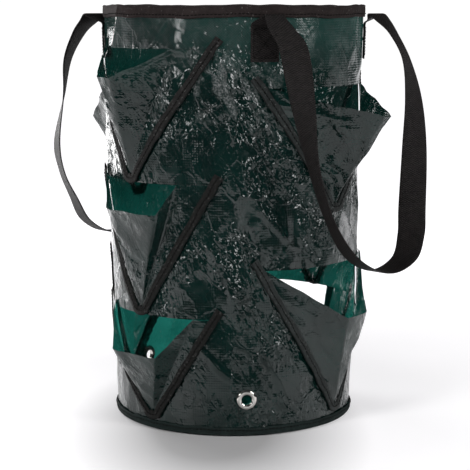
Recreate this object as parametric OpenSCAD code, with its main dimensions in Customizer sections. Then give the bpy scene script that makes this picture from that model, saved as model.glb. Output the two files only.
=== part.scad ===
// Strawberry grow bag: a tall round bag of coated woven sheet with ten planting pockets,
// two webbing handles and three drain eyelets. Millimetres, +Z up, front towards -Y,
// origin at the centre of the base, on the floor.
// Azimuths are in degrees from the front, positive towards +X.

/* [Bag] */
// Overall height, from the floor to the top of the rim binding
bag_h = 450; // [440:5:520]
// Radius of the round base
base_r = 131; // [125:1:150]
// How far the rim stands out past the base on the left and on the right
rim_spread = 12; // [4:1:16]
// How far the rim is drawn in from the base at the front and at the back
rim_squeeze = 14; // [4:1:18]
// Thickness of the wall and base sheet, with its coating
wall_t = 1; // [0.8:0.1:1.4]
// Thickness of a pocket's pouch sheet
pouch_t = 0.8; // [0.6:0.1:1.2]

/* [Bindings] */
// Thickness of the binding tape
tape_t = 1.2; // [0.8:0.1:1.6]
// Height of the rim binding
rim_tape_h = 13; // [10:1:16]
// Height of the base binding
base_tape_h = 9; // [7:1:12]
// Width of a pocket's binding outside its seam
seam_tape_out = 8; // [6:0.5:9]
// Width of a pocket's binding inside its seam
seam_tape_in = 3; // [2:0.5:4]
// Width of the tape over the side seam
side_tape_w = 15; // [10:1:17]

/* [Pockets] */
// Height of the lowest slit in the columns of three pockets
three_first_z = 123; // [118:1:126]
// Distance from the rim down to the top slit in the columns of three
three_top_down = 45; // [43:1:53]
// Height of the lower slit in the columns of two pockets
two_first_z = 175; // [168:1:182]
// Distance from the rim down to the top slit in the columns of two
two_top_down = 85; // [79:1:95]
// How far up between the two slits the upper V's tip lies in the columns of two, as a share
two_tip_up = 0.34; // [0.25:0.01:0.42]
// Half of a slit's width in the columns of three, in degrees round the bag
three_half = 37; // [32:1:38]
// Half of a slit's width in the columns of two, in degrees round the bag
two_half = 40; // [34:1:41]
// How far the binding runs on above the end of a slit
tape_over = 12; // [6:1:14]
// How far a V's tip lies above the slit below it in the columns of three
three_tip_up = 6.5; // [4:0.5:10]
// Width of the pouch's seam allowance under the binding
allowance = 6; // [4:0.5:6.5]

/* [Eyelets] */
// Height of the eyelets above the floor
eyelet_z = 39; // [36:1:46]
// Radius of the drain bore
bore_r = 5.25; // [4:0.25:5.5]
// Radius of the eyelet's flange
flange_r = 10.5; // [9:0.25:11]
// Wall thickness of the eyelet's barrel
barrel_t = 0.75; // [0.5:0.05:1]

/* [Handles] */
// Width of the webbing
strap_w = 30; // [25:1:32]
// Thickness of the webbing
strap_t = 1.6; // [1.2:0.1:2]
// Height of the sewn part of a handle's end
sewn_h = 38; // [30:1:42]
// How far the fold of a handle's end stands out from the wall
fold_out = 14; // [13:1:18]
// Distance from the rim down to the handles' fold line
fold_down = 10; // [8:1:11]
// Thickness of the sewing thread
thread_t = 0.8; // [0.5:0.1:1]

/* [Hidden] */
gap = 0.3;               // clearance between two layers
pouch_inset = degrees_for(seam_tape_in + gap);   // seam to the line where a pouch leaves the wall
round_steps = 96;        // flats round the bag
seam_steps = 12;         // steps along a pocket's seam
seam_bow = 1.05;         // how much a pocket's seam bows outwards
tip_half = pouch_inset + 0.6;          // half width of a V's blunt tip, in degrees
tip_skirt = 6;           // pouch sheet below the tip
thread_gap = 0.25;       // thread above the tape it is sewn into
wall_top = bag_h - tape_t - gap;
base_tape_z = 0.4;       // underside of the base binding, clear of the floor
wall_bottom = base_tape_z + tape_t + gap;
rim_tape_z = bag_h - rim_tape_h;
slack = 0.1;                                   // room for the flats of two curved layers
pouch_off = gap + slack;                       // inner face of a seam allowance
tape_off = pouch_off + pouch_t + gap + slack;  // inner face of a pocket's binding
thread_off = tape_off + tape_t + thread_gap;

// Pockets: name, azimuth of the slit's middle, azimuth of the V's tip, half width in degrees,
// slit height, tip height, reach of the lip, drop of the lip as a share of the V's height, the
// lip's flat front, from and to, and where its two flanks meet the wall, all as shares of the half
// width. The lowest tips stop above the base binding.
low_tip = base_tape_h + seam_tape_out + 1;
beside_eyelet = eyelet_z + 1;       // tip of the V beside the back eyelet
three_top_z = bag_h - three_top_down;
three_middle_z = (three_first_z + three_top_z) / 2;
two_top_z = bag_h - two_top_down;
back_three_half = three_half - 3;   // the back slits stop short of the handle and the side seam
back_two_half = two_half - 6;
three_middle_tip = three_middle_z + three_tip_up;
three_first_tip = three_first_z + three_tip_up;
two_first_tip = mix(two_first_z, two_top_z, two_tip_up);
POCKETS = [
    ["front_left_top", -47, -52, three_half, three_top_z, three_middle_tip,
     40, 0.213, -0.13, 0.07, -1, 0.6],
    ["front_left_middle", -47, -47, three_half, three_middle_z, three_first_tip,
     16, 0.223, -0.45, 0.42, -1, 0.6],
    ["front_left_bottom", -47, -41, three_half, three_first_z, low_tip,
     21, 0.381, -0.29, 0.42, -1, 0.8],
    ["front_right_top", 53, 52, two_half, two_top_z, two_first_tip,
     60, 0.235, -0.05, 0.05, -1, 0.85],
    ["front_right_bottom", 53, 56, two_half, two_first_z, low_tip + 2,
     22, 0.361, -0.05, 0.4, -1, 1],
    ["back_right_top", 136, 134, back_three_half, three_top_z, three_middle_tip,
     42, 0.223, -0.1, 0.15, -1, 1],
    ["back_right_middle", 136, 136, back_three_half, three_middle_z, three_first_tip,
     32, 0.178, -0.3, 0.3, -1, 1],
    ["back_right_bottom", 136, 134, back_three_half, three_first_z, low_tip,
     24, 0.324, -0.1, 0.4, -0.3, 1],
    ["back_left_top", -127, -126, back_two_half, two_top_z, two_first_tip,
     60, 0.351, -0.1, 0.1, -1, 1],
    ["back_left_bottom", -127, -117, back_two_half, two_first_z, beside_eyelet,
     28, 0.382, -0.3, 0.1, -1, 1],
];

// Eyelets: name and azimuth
EYELETS = [["front", 6], ["right", 104], ["back", -129]];

side_seam_az = 183;

// Handle ends: name and azimuth. A fold lies a little nearer the handle's middle than its sewn end.
HANDLE_ENDS = [["front_handle_left", 13, 15.5], ["front_handle_right", 88, 88],
               ["rear_handle_left", -98, -98], ["rear_handle_right", -167, -164.5]];

// Routes of the two loops as they hang. Each point holds its place along the line between the
// folds (-1 and 1 are the folds), its distance outwards, its drop, and the turn of the webbing's
// width from that line towards the outside.
hinge_cut = 1.95;        // webbing cut back from the fold line
FRONT_ROUTE = [
    [-1, 0.4, hinge_cut, 0], [-1, 2, 5, 5], [-0.97, 9, 16, 25], [-0.92, 20, 35, 46],
    [-0.93, 33, 88, 80], [-0.88, 43, 148, 112], [-0.71, 53, 205, 118], [-0.42, 64, 248, 105],
    [0.1, 68, 268, 90], [0.62, 66, 260, 80], [0.88, 59, 237, 65], [0.99, 53, 208, 48],
    [1.13, 46, 146, 28], [1.24, 37, 93, 2], [1.22, 28, 50, -20], [1.12, 16, 21, -20],
    [1.04, 6, 6.5, -6], [1, 0.4, hinge_cut, 0]];
REAR_ROUTE = [
    [-1, 0.4, hinge_cut, 0], [-1.03, 5, 7, 6], [-1.12, 15, 21, 22], [-1.24, 24, 50, 35],
    [-1.27, 29, 90, 50], [-1.32, 38, 143, 66], [-1.2, 42, 178, 66], [-0.96, 46, 209, 72],
    [-0.68, 52, 238, 80], [-0.2, 58, 256, 90], [0.35, 60, 254, 90], [0.74, 56, 226, 75],
    [0.88, 50, 188, 60], [0.93, 44, 140, 40], [0.93, 34, 90, 15], [0.93, 20, 45, -12],
    [0.97, 9, 16, -12], [1, 2, 5, 0], [1, 0.4, hinge_cut, 0]];
route_steps = 4;          // stations between two points of a route

fold_z = bag_h - fold_down;
sewn_down = 7;                          // from the rim binding down to a handle's sewn part
sewn_top = rim_tape_z - sewn_down;      // top of the part that lies flat on the wall
strap_mid_off = gap + strap_t / 2 + 0.1;

eyelet_hole_r = bore_r + barrel_t + 0.4;
eyelet_cut = 20 * wall_t;                 // length of the tool that cuts an eyelet's hole
barrel_r = bore_r + barrel_t;
washer_in_r = barrel_r + gap;
washer_out_r = flange_r - 0.5;
washer_t = 0.8;
lip_r = washer_in_r + 1;
sag = flange_r * flange_r / (2 * base_r);   // how far the round wall falls away across a flange

// Half axes of the bag's oval section at a height
function half_x(z) = base_r + rim_spread * z / bag_h;
function half_y(z) = base_r - rim_squeeze * z / bag_h;

// A point on the wall's outer face, or off it by a distance outwards
function on_wall(az, z, off = 0) =
    [(half_x(z) + off) * sin(az), -(half_y(z) + off) * cos(az), z];

function unit(v) = v / norm(v);
function degrees_for(width) = width / base_r * 180 / PI;
function mix(a, b, t) = a + (b - a) * t;

// A thick sheet between two grids of points, with the rows upwards and the columns
// anticlockwise from above. A ring closes on itself.
module sheet(outer, inner, ring = false) {
    rows = len(outer);
    cols = len(outer[0]);
    n = rows * cols;
    last = ring ? cols - 1 : cols - 2;
    function at(i, j) = i * cols + j % cols;
    points = concat([for (r = outer) each r], [for (r = inner) each r]);
    skins = [for (i = [0:rows - 2], j = [0:last])
        let (a = at(i, j), b = at(i, j + 1), c = at(i + 1, j + 1), d = at(i + 1, j))
        each [[a, d, c], [a, c, b], [n + a, n + c, n + d], [n + a, n + b, n + c]]];
    ends = [for (j = [0:last])
        let (a = at(0, j), b = at(0, j + 1), c = at(rows - 1, j + 1), d = at(rows - 1, j))
        each [[a, b, n + b], [a, n + b, n + a], [c, d, n + d], [c, n + d, n + c]]];
    sides = ring ? [] : [for (i = [0:rows - 2])
        let (a = at(i, 0), d = at(i + 1, 0), b = at(i, cols - 1), c = at(i + 1, cols - 1))
        each [[d, a, n + a], [d, n + a, n + d], [b, c, n + c], [b, n + c, n + b]]];
    polyhedron(points, concat(skins, ends, sides));
}

// A band all the way round the bag, whose section is a polygon of [distance off the wall, height]
module band(section) {
    m = len(section);
    points = [for (k = [0:round_steps - 1], q = section) on_wall(360 * k / round_steps, q[1], q[0])];
    function at(k, q) = (k % round_steps) * m + q % m;
    polyhedron(points, [for (k = [0:round_steps - 1], q = [0:m - 1])
        let (a = at(k, q), b = at(k + 1, q), c = at(k + 1, q + 1), d = at(k, q + 1))
        each [[a, d, c], [a, c, b]]]);
}

// A flat strip along a path, with the direction of its width given at each point. Where the path
// leans along its own width, the strip shears there and doesn't fold over itself.
module ribbon(path, across, width, thick) {
    n = len(path);
    function along(i) = unit(path[min(i + 1, n - 1)] - path[max(i - 1, 0)]);
    rings = [for (i = [0:n - 1])
        let (face = unit(cross(along(i), across[i])))
        each [for (c = [[1, 1], [-1, 1], [-1, -1], [1, -1]])
            path[i] + across[i] * c[0] * width / 2 + face * c[1] * thick / 2]];
    // Both faces are cut along the same diagonal, so that a twisted strip keeps its thickness
    walls = [for (i = [0:n - 2], q = [0:3])
        let (a = 4 * i + q, b = 4 * i + (q + 1) % 4)
        each q == 2 ? [[a, a + 4, b], [a + 4, b + 4, b]] : [[a, a + 4, b + 4], [a, b + 4, b]]];
    e = 4 * (n - 1);
    polyhedron(rings, concat(walls, [[0, 1, 2], [0, 2, 3], [e, e + 2, e + 1], [e, e + 3, e + 2]]));
}

// A pocket's V: how wide it is, and where its middle is, at a share of its height
function bow(t) = t < 1 ? 1 - pow(1 - max(t, 0), seam_bow) : t;
function v_half(p, t) = mix(tip_half, p[3], bow(t));
function v_mid(p, t) = mix(p[2], p[1], t);
function v_z(p, t) = mix(p[5], p[4], t);

// A point of a pocket's seam, or beside it by a width, on the side -1 or 1
function seam_point(p, t, side, beside, off) =
    on_wall(v_mid(p, t) + side * (v_half(p, t) + degrees_for(beside)), v_z(p, t), off);

// How far a pouch swells at a share across it: 0 where its flanks meet the wall, 1 on its flat front
function swell(p, s) =
    s <= p[10] || s >= p[11] ? 0
    : s < p[8] ? (s - p[10]) / (p[8] - p[10])
    : s > p[9] ? (p[11] - s) / (p[11] - p[9]) : 1;

// The share of a pocket's height at which its pouch leaves the wall, and how far it has left it
function start_t(p) = (seam_tape_in + gap) / (p[4] - p[5]);
function lift(p, t) = max(0, (t - start_t(p)) / (1 - start_t(p)));

function pouch_point(p, t, s, beside, off) =
    on_wall(v_mid(p, t) + s * (v_half(p, t) - pouch_inset) + beside,
            v_z(p, t) - p[7] * (p[4] - p[5]) * swell(p, s) * lift(p, t),
            off + p[6] * swell(p, s) * lift(p, t));

// The V-shaped hole that a pocket leaves in the wall, reaching through it both ways
module v_hole(p) {
    rows = [0, 0.15, 0.4, 0.7, 1];
    function grid(off) = [for (t = rows) [for (s = [-1:0.5:1])
        on_wall(v_mid(p, t) + s * v_half(p, t), v_z(p, t), off)]];
    sheet(grid(8), grid(-12));
}

module pouch(p) {
    flap = pouch_inset + degrees_for(allowance);
    rows = concat([0, start_t(p)], [for (k = [1:seam_steps]) k / seam_steps]);
    // The flanks are flat, and a stretch beyond them lies against the wall
    beyond_left = p[10] > -1 ? [[(p[10] - 1) / 2, 0], [p[10], 0]] : [];
    beyond_right = p[11] < 1 ? [[p[11], 0], [(p[11] + 1) / 2, 0]] : [];
    cols = concat([[-1, -flap], [-1, -flap / 2], [-1, 0]], beyond_left,
                  [[p[8], 0], [(p[8] + p[9]) / 2, 0], [p[9], 0]], beyond_right,
                  [[1, 0], [1, flap / 2], [1, flap]]);
    // The sides of a pouch lean, so their depth towards the bag is more than the sheet's thickness
    function depth(s) = pouch_t * (swell(p, s) > 0 ? 1.8 : 1);
    function skirt(inner) = [for (c = cols)
        on_wall(p[2] + c[0] * (tip_half - pouch_inset) + c[1], p[5] - tip_skirt,
                pouch_off + (inner ? 0 : pouch_t))];
    function face(inner) = concat([skirt(inner)], [for (t = rows) [for (c = cols)
        pouch_point(p, t, c[0], c[1],
                    pouch_off + pouch_t - (inner ? (lift(p, t) == 0 ? pouch_t : depth(c[0])) : 0))]]);
    color("darkslategray") sheet(face(false), face(true));
}

// A strip that follows a pocket's V from one top corner round the tip to the other
module v_strip(p, from, to, off, thick) {
    top = 1 + tape_over / (p[4] - p[5]);
    ts = concat([for (k = [0:seam_steps]) k / seam_steps], [top]);
    n = len(ts);
    corner = degrees_for(to) * 0.5 + tip_half;
    function leg(side, t, o) = [seam_point(p, t, side, from, o), seam_point(p, t, side, to, o)];
    function turn(side, o) = [on_wall(p[2] + side * 0.2, p[5] - from, o),
                              on_wall(p[2] + side * corner, p[5] - to, o)];
    function grid(o) = concat([for (k = [n - 1:-1:0]) leg(-1, ts[k], o)], [turn(-1, o), turn(1, o)],
                              [for (k = [0:n - 1]) leg(1, ts[k], o)]);
    sheet(grid(off + thick), grid(off));
}

module pocket_binding(p) {
    color([0.2, 0.17, 0.16]) v_strip(p, -seam_tape_in, seam_tape_out, tape_off, tape_t);
}

module pocket_stitching() {
    color("black") for (p = POCKETS) v_strip(p, 2, 2 + thread_t, thread_off, thread_t / 2);
}

// Puts a piece made along +Z on the wall, pointing outwards
module at_eyelet(az) {
    translate(on_wall(az, eyelet_z)) rotate([90, 0, az]) children();
}

module wall_panel() {
    color([0.11, 0.23, 0.21]) difference() {
        sheet([for (z = [wall_bottom, wall_top]) wall_ring(z, 0)],
              [for (z = [wall_bottom, wall_top]) wall_ring(z, -wall_t)], ring = true);
        for (p = POCKETS) v_hole(p);
        for (e = EYELETS)
            at_eyelet(e[1]) cylinder(r = eyelet_hole_r, h = eyelet_cut, center = true, $fn = 48);
    }
}

function wall_ring(z, off) = [for (k = [0:round_steps - 1]) on_wall(360 * k / round_steps, z, off)];

module base_panel() {
    color([0.11, 0.23, 0.21]) cylinder(r = base_r - wall_t - tape_t - 2 * gap, h = wall_t, $fn = 96);
}

// Tape folded over an edge of the wall: outer leg, web and inner leg
function folded_tape(z_free, z_web, z_fold) = [
    [gap + tape_t, z_free], [gap + tape_t, z_fold], [-wall_t - gap - tape_t, z_fold],
    [-wall_t - gap - tape_t, z_free], [-wall_t - gap, z_free], [-wall_t - gap, z_web],
    [gap, z_web], [gap, z_free]];

module rim_binding() {
    color([0.2, 0.17, 0.16]) band(folded_tape(rim_tape_z, wall_top + gap, bag_h));
}

module base_binding() {
    tape = folded_tape(base_tape_h, wall_bottom - gap, base_tape_z);
    color([0.2, 0.17, 0.16]) band([for (k = [len(tape) - 1:-1:0]) tape[k]]);
}

// A tape up the wall between the two bindings
module upright_tape(az, width, off, thick) {
    half = degrees_for(width) / 2;
    function grid(o) = [for (z = [base_tape_h + 1, rim_tape_z - 1]) [for (s = [-1, 0, 1])
        on_wall(az + s * half, z, o)]];
    sheet(grid(off + thick), grid(off));
}

module side_seam_tape() {
    color([0.2, 0.17, 0.16]) upright_tape(side_seam_az, side_tape_w, gap, tape_t);
}

module side_seam_stitching() {
    inset = degrees_for(side_tape_w / 2 - 3);
    color("black") for (s = [-1, 1])
        upright_tape(side_seam_az + s * inset, thread_t, gap + tape_t + thread_gap, thread_t / 2);
}

// A line of thread round the bag on the outer leg of a binding
module ring_stitching(z) {
    o = gap + tape_t + thread_gap;
    top = z + thread_t;
    color("black") band([[o + thread_t / 2, z], [o + thread_t / 2, top], [o, top], [o, z]]);
}

module eyelet(az) {
    back = gap + 0.05;
    rolled = [for (k = [0:10]) [(flange_r + bore_r) / 2 + (flange_r - bore_r) / 2 * cos(18 * k),
                                back + 1.6 * sin(18 * k)]];
    washer_back = wall_t + sag + gap + washer_t;
    color("silver") at_eyelet(az) rotate_extrude($fn = 96) polygon(concat(
        [[bore_r, -washer_back - gap - barrel_t], [lip_r, -washer_back - gap - barrel_t],
         [lip_r, -washer_back - gap], [barrel_r, -washer_back - gap], [barrel_r, back]], rolled));
}

module eyelet_washer(az) {
    front = wall_t + sag + gap;
    color("silver") at_eyelet(az) translate([0, 0, -front - washer_t]) difference() {
        cylinder(r = washer_out_r, h = washer_t, $fn = 96);
        translate([0, 0, -1]) cylinder(r = washer_in_r, h = washer_t + 2, $fn = 96);
    }
}

// The line through a handle's two folds, about which its loop swings
function fold_point(end) = on_wall(end[2], fold_z, fold_out);
function line_dir(a, b) = unit(fold_point(b) - fold_point(a));
function outwards(a, b) = let (d = line_dir(a, b), o = [d[1], -d[0], 0])
    o * (fold_point(a) * o > 0 ? 1 : -1);

// A sewn end: up the wall, then out to just short of the fold
module sewn_end(end, line, out) {
    tangent = unit(on_wall(end[1] + 1, fold_z) - on_wall(end[1] - 1, fold_z));
    wide = tangent * line > 0 ? tangent : -tangent;
    low = on_wall(end[1], sewn_top - sewn_h, strap_mid_off);
    high = on_wall(end[1], sewn_top, strap_mid_off);
    tip = fold_point(end) - (out + [0, 0, 1]) / sqrt(2) * hinge_cut;
    path = concat([low, high], [for (t = [0.25:0.25:1])
        high + [0, 0, 2] * t * (1 - t) + (tip - high) * t]);
    across = concat([wide, wide], [for (t = [0.25:0.25:1]) unit(mix(wide, line, pow(t, 1.5)))]);
    color([0.11, 0.1, 0.1]) ribbon(path, across, strap_w, strap_t);
}

// A smooth curve through a list of values, at a place between value i and the next
function smooth(v, i, t) =
    let (last = len(v) - 1, a = v[max(i - 1, 0)], b = v[i], c = v[min(i + 1, last)],
         d = v[min(i + 2, last)])
    0.5 * (2 * b + (c - a) * t + (2 * a - 5 * b + 4 * c - d) * t * t
           + (3 * b - a - 3 * c + d) * t * t * t);

module handle_loop(route, a, b) {
    line = line_dir(a, b);
    out = outwards(a, b);
    middle = (fold_point(a) + fold_point(b)) / 2;
    half = norm(fold_point(b) - fold_point(a)) / 2;
    n = len(route);
    stations = concat([for (i = [0:n - 2], k = [0:route_steps - 1]) smooth(route, i, k / route_steps)],
                      [route[n - 1]]);
    path = [for (s = stations) middle + line * half * s[0] + out * s[1] - [0, 0, s[2]]];
    across = [for (s = stations) line * cos(s[3]) + out * sin(s[3])];
    color([0.11, 0.1, 0.1]) ribbon(path, across, strap_w, strap_t);
}

// A straight run of thread on a sewn end's face, between two points of [across, up]
module thread_run(a, b) {
    d = b - a;
    translate([a[0], a[1], 0]) rotate([0, 0, atan2(d[1], d[0])])
        translate([0, -thread_t / 2, 0]) cube([norm(d), thread_t, thread_t / 2]);
}

// A sewn box with a cross in it on each handle end
module handle_stitching() {
    x = strap_w / 2 - 3;
    y = sewn_h / 2 - 4;
    corners = [[-x, -y], [x, -y], [x, y], [-x, y]];
    color("black") for (end = HANDLE_ENDS)
        let (az = end[1], facing = atan2(half_y(fold_z) * sin(az), half_x(fold_z) * cos(az)),
             lean = atan((rim_spread * pow(sin(az), 2) - rim_squeeze * pow(cos(az), 2)) / bag_h))
        translate(on_wall(az, sewn_top - sewn_h / 2, strap_mid_off + strap_t / 2 + thread_gap))
            rotate([90 + lean, 0, facing]) {
                for (k = [0:3]) thread_run(corners[k], corners[(k + 1) % 4]);
                for (k = [0, 1]) thread_run(corners[k], corners[k + 2]);
            }
}

wall_panel();
base_panel();
side_seam_tape();
rim_binding();
base_binding();
for (p = POCKETS) {
    pouch(p);
    pocket_binding(p);
}
for (e = EYELETS) {
    eyelet(e[1]);
    eyelet_washer(e[1]);
}
for (k = [0:3]) {
    a = HANDLE_ENDS[k < 2 ? 0 : 2];
    b = HANDLE_ENDS[k < 2 ? 1 : 3];
    sewn_end(HANDLE_ENDS[k], line_dir(a, b), outwards(a, b));
}
handle_loop(FRONT_ROUTE, HANDLE_ENDS[0], HANDLE_ENDS[1]);  // front_handle_loop
handle_loop(REAR_ROUTE, HANDLE_ENDS[2], HANDLE_ENDS[3]);  // rear_handle_loop
ring_stitching(rim_tape_z + 3);  // rim_stitching
ring_stitching(base_tape_h - 3);  // base_stitching
side_seam_stitching();
pocket_stitching();
handle_stitching();
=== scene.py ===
import math
from collections import namedtuple

import bpy
import numpy as np
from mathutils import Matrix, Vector


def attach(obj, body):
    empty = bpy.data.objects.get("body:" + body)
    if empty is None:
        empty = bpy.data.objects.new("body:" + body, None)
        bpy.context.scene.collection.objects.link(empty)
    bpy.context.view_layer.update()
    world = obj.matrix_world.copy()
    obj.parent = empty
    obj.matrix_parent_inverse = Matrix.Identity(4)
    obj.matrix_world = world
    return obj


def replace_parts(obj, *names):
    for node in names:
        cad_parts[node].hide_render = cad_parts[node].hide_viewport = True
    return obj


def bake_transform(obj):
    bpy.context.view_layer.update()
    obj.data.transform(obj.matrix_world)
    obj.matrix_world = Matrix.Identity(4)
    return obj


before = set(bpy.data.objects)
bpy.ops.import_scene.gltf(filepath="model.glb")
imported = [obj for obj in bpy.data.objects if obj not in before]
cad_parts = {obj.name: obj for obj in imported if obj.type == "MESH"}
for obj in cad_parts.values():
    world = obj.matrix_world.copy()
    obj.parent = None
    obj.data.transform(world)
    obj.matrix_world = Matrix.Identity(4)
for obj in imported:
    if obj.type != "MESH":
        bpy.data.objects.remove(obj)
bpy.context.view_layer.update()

scene = bpy.context.scene
MM = 0.001

# Camera
LOOKS_DOWN = 8.72
FOCAL_PIXELS, FRAME_PIXELS, SENSOR_MM = 1500, 470, 36
camera = bpy.data.objects.new("camera", bpy.data.cameras.new("camera"))
scene.collection.objects.link(camera)
camera.location = (0.0015, -1.664, 0.450)
camera.rotation_euler = (math.radians(90 - LOOKS_DOWN), 0, 0)
camera.data.sensor_width = SENSOR_MM
camera.data.lens = FOCAL_PIXELS / FRAME_PIXELS * SENSOR_MM
camera.data.clip_start = 0.05
scene.camera = camera

# Sizes in millimetres and azimuths in degrees, as in the part's source
BAG_H, BASE_R, RIM_SPREAD, RIM_SQUEEZE = 450, 131, 12, 14
TAPE_T, RIM_TAPE_H, BASE_TAPE_H, SIDE_TAPE_W = 1.2, 13, 9, 15
SEAM_OUT, SEAM_IN, SEAM_AZ = 8, 3, 183
STRAP_W, STRAP_T, SEWN_H = 30, 1.6, 38
GAP, POUCH_T, POUCH_OFF, WALL_FOOT = 0.3, 0.8, 0.4, 1.9
TAPE_OFF = POUCH_OFF + POUCH_T + 0.4
POUCH_MID = POUCH_OFF + POUCH_T / 2
STRAP_MID = GAP + STRAP_T / 2 + 0.1
THREAD_OFF = GAP + TAPE_T + 0.28
RIM_Z = BAG_H - RIM_TAPE_H
SEWN_TOP = RIM_Z - 7
EYELET_Z, EYELET_HOLE = 39, 8.9
# Degrees of azimuth for each millimetre round the base, and the other way round
DEG = 180 / math.pi / BASE_R
ROUND = math.pi / 180 * BASE_R
INSET = (SEAM_IN + GAP) * DEG
TIP_HALF = INSET + 0.6
# How far a pocket's tape runs on past the slit, and a loop's cut end stands off its fold
OVER, CUT = 12, 1.95

# Pockets: azimuth of the slit and of the V's tip, half width in degrees, slit and tip height,
# reach and drop of the lip, the lip's flat front and the ends of its flanks as shares of the half
# width
Pocket = namedtuple("Pocket", "slit_az tip_az half slit_z tip_z reach drop flat0 flat1 end0 end1")
POCKETS = {
    "front_left_top": Pocket(-47, -52, 37, 405, 270.5, 40, 28.6, -0.13, 0.07, -1, 0.6),
    "front_left_middle": Pocket(-47, -47, 37, 264, 129.5, 16, 30, -0.45, 0.42, -1, 0.6),
    "front_left_bottom": Pocket(-47, -41, 37, 123, 18, 21, 40, -0.29, 0.42, -1, 0.8),
    "front_right_top": Pocket(53, 52, 40, 365, 239.6, 60, 29.5, -0.05, 0.05, -1, 0.85),
    "front_right_bottom": Pocket(53, 56, 40, 175, 20, 22, 56, -0.05, 0.4, -1, 1),
    "back_right_top": Pocket(136, 134, 34, 405, 270.5, 42, 30, -0.1, 0.15, -1, 1),
    "back_right_middle": Pocket(136, 136, 34, 264, 129.5, 32, 24, -0.3, 0.3, -1, 1),
    "back_right_bottom": Pocket(136, 134, 34, 123, 18, 24, 34, -0.1, 0.4, -0.3, 1),
    "back_left_top": Pocket(-127, -126, 34, 365, 239.6, 60, 44, -0.1, 0.1, -1, 1),
    "back_left_bottom": Pocket(-127, -117, 34, 175, 40, 28, 51.6, -0.3, 0.1, -1, 1),
}
EYELETS = {"front": 6, "right": 104, "back": -129}
# Sewn ends of the handles: azimuth on the wall, and azimuth of the fold above it
ENDS = {"front_handle_left": (13, 15.5), "front_handle_right": (88, 88),
        "rear_handle_left": (-98, -98), "rear_handle_right": (-167, -164.5)}
# Handles: place between the folds as a share of the half distance, distance out from the bag,
# distance down, and the strap's turn in degrees
FRONT_ROUTE = [
    (-1, 0.4, CUT, 0), (-1, 2, 5, 5), (-0.97, 9, 16, 25), (-0.92, 20, 35, 46),
    (-0.93, 33, 88, 80), (-0.88, 43, 148, 112), (-0.71, 53, 205, 118), (-0.42, 64, 248, 105),
    (0.1, 68, 268, 90), (0.62, 66, 260, 80), (0.88, 59, 237, 65), (0.99, 53, 208, 48),
    (1.13, 46, 146, 28), (1.24, 37, 93, 2), (1.22, 28, 50, -20), (1.12, 16, 21, -20),
    (1.04, 6, 6.5, -6), (1, 0.4, CUT, 0)]
REAR_ROUTE = [
    (-1, 0.4, CUT, 0), (-1.03, 5, 7, 6), (-1.12, 15, 21, 22), (-1.24, 24, 50, 35),
    (-1.27, 29, 90, 50), (-1.32, 38, 143, 66), (-1.2, 42, 178, 66), (-0.96, 46, 209, 72),
    (-0.68, 52, 238, 80), (-0.2, 58, 256, 90), (0.35, 60, 254, 90), (0.74, 56, 226, 75),
    (0.88, 50, 188, 60), (0.93, 44, 140, 40), (0.93, 34, 90, 15), (0.93, 20, 45, -12),
    (0.97, 9, 16, -12), (1, 2, 5, 0), (1, 0.4, CUT, 0)]


# Noise
def hashed(i, j, seed):
    """A fixed number from -1 to 1 for each point of a lattice."""
    h = np.sin(i * 127.1 + j * 311.7 + seed * 74.7) * 43758.5453
    return (h - np.floor(h)) * 2 - 1


def facets(x, y, seed):
    """Flat facets with creases between them: straight blends over a lattice of triangles."""
    f = (x + y) * 0.3660254
    u, v = x + f, y + f
    i, j = np.floor(u), np.floor(v)
    u, v = u - i, v - j
    a, b = hashed(i, j, seed), hashed(i + 1, j + 1, seed)
    c = np.where(u > v, hashed(i + 1, j, seed), hashed(i, j + 1, seed))
    hi, lo = np.maximum(u, v), np.minimum(u, v)
    return a * (1 - hi) + c * (hi - lo) + b * lo


def swirl(x, y, seed):
    """Smooth noise from -1 to 1."""
    i, j = np.floor(x), np.floor(y)
    u, v = x - i, y - j
    u, v = u * u * (3 - 2 * u), v * v * (3 - 2 * v)
    top = hashed(i, j, seed) * (1 - u) + hashed(i + 1, j, seed) * u
    low = hashed(i, j + 1, seed) * (1 - u) + hashed(i + 1, j + 1, seed) * u
    return top * (1 - v) + low * v


def ease(x, a, b):
    """Rises smoothly from 0 at a to 1 at b."""
    t = np.clip((x - a) / (b - a), 0, 1)
    return t * t * (3 - 2 * t)


# The wall's surface
def wrap(az):
    """The same azimuth, from the seam's less 360 up to the seam's."""
    return (np.asarray(az, float) - SEAM_AZ) % 360 - 360 + SEAM_AZ


def apart(az, other):
    """From one azimuth to another, between -180 and 180."""
    return wrap(az - other + SEAM_AZ - 180) - SEAM_AZ + 180


def to_line(x, y, ax, ay, bx, by):
    """Signed distance from the line through two points, and the place along it as a share."""
    dx, dy = bx - ax, by - ay
    n = math.hypot(dx, dy)
    return ((x - ax) * dy - (y - ay) * dx) / n, ((x - ax) * dx + (y - ay) * dy) / (n * n)


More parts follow.
